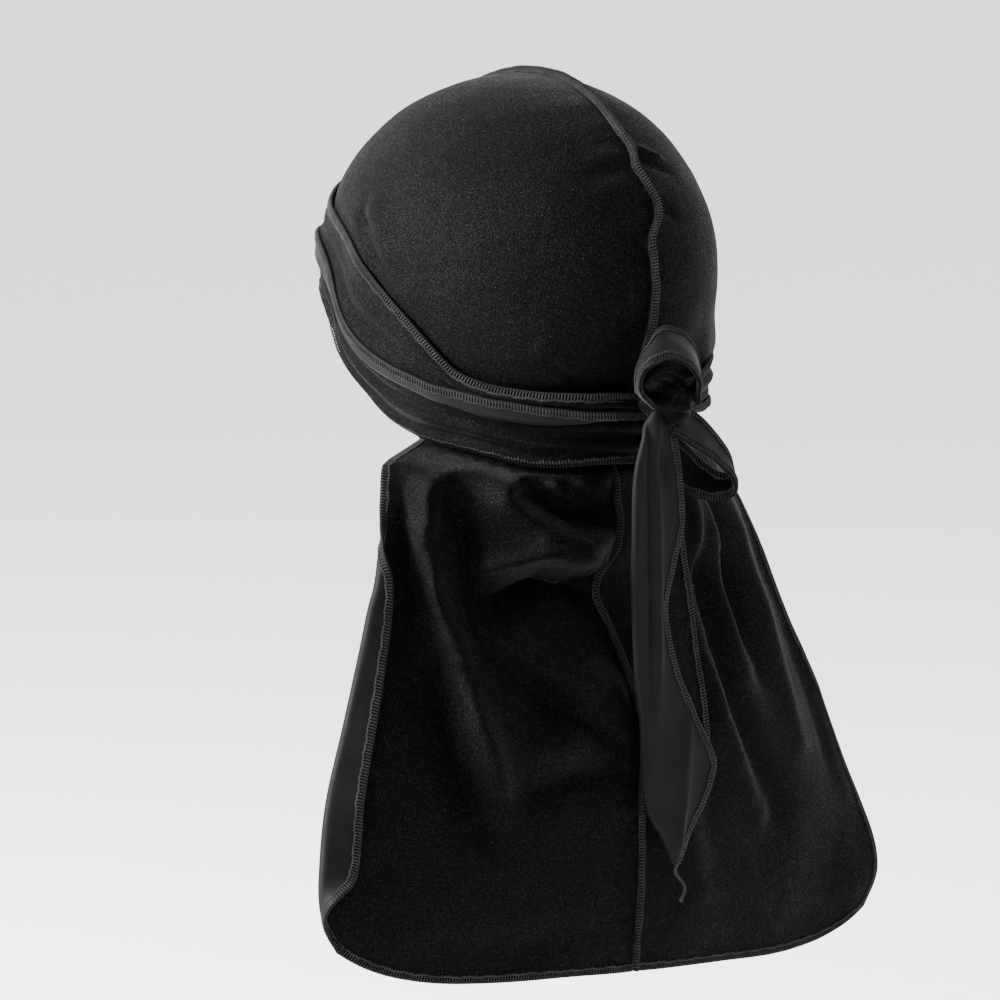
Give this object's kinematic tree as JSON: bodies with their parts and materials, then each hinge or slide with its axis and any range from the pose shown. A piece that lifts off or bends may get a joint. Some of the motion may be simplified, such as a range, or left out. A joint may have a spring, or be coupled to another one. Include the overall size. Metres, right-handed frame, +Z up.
{
  "type": "durag",
  "caption": "Velvet head wrap as worn: two panels joined by a raised seam, a long tail, and ties wrapped round the head and tied at the nape.",
  "frame": {"origin": "middle of the head opening, at the level where a head is widest", "axes": "+Z up, -Y the way the wearer faces, +X the wearer's left"},
  "size_m": [0.3082, 0.22, 0.3876],
  "materials": {
    "velvet": "black short-pile velvet with a soft sheen",
    "underside": "smooth matt knitted underside of the velvet",
    "thread": "black overlock thread"
  },
  "bodies": {
    "root": {"panel_left": "velvet", "panel_right": "velvet", "centre_seam": "thread", "tie_wrap_lower": "velvet", "tie_wrap_upper": "velvet", "tie_knot": "velvet", "bow_loop_upper": "underside", "bow_loop_right": "underside", "tie_end": "underside"}
  },
  "joints": []
}
